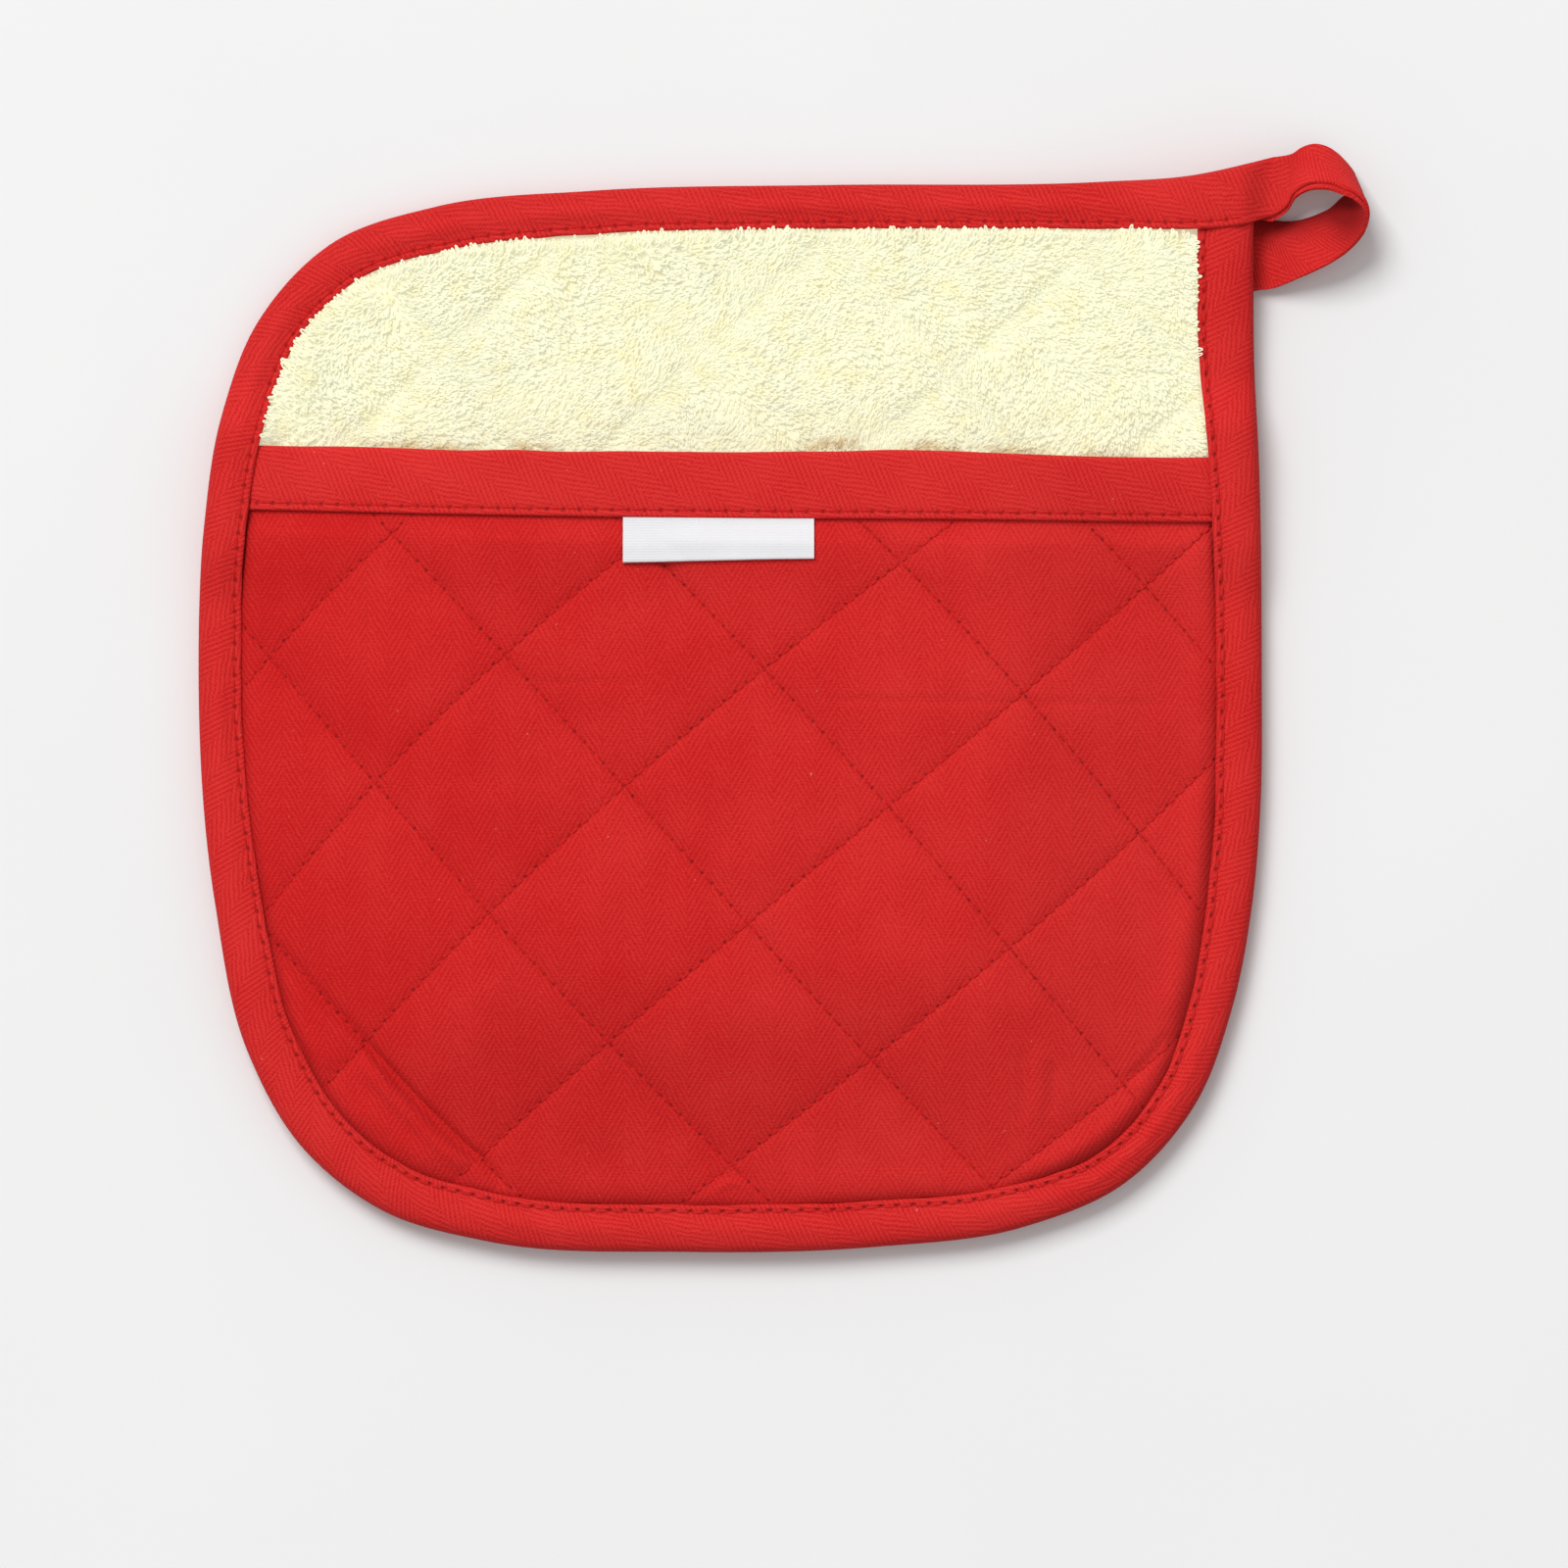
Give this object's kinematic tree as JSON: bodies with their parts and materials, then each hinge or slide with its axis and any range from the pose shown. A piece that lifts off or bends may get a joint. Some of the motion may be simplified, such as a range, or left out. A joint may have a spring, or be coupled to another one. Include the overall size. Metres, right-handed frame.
{
  "type": "pot holder",
  "caption": "Quilted cotton pot holder with a terry lining, a bound hand pocket and a folded hanging loop, lying flat on its back.",
  "frame": {"origin": "under the middle of the whole piece, loop included, on the surface that it lies on", "axes": "+X to the right and +Y up over the face of the pot holder, the loop being at its top right corner, +Z up away from the surface"},
  "size_m": [0.239, 0.2264, 0.0203],
  "materials": {
    "back_twill": "red cotton herringbone twill, quilted",
    "cream_terry": "cream cotton terry, looped pile",
    "pocket_twill": "red cotton herringbone twill, quilted",
    "mouth_twill": "red cotton twill cut on the bias",
    "edge_twill": "red cotton twill cut on the bias",
    "loop_twill": "red cotton twill cut on the bias, folded flat",
    "woven_label": "plain white woven tape with a soft sheen"
  },
  "bodies": {
    "root": {"back_panel": "back_twill", "terry_lining": "cream_terry", "pocket_panel": "pocket_twill", "pocket_binding": "mouth_twill", "edge_binding": "edge_twill", "hanging_loop": "loop_twill", "label_tab": "woven_label"}
  },
  "joints": []
}
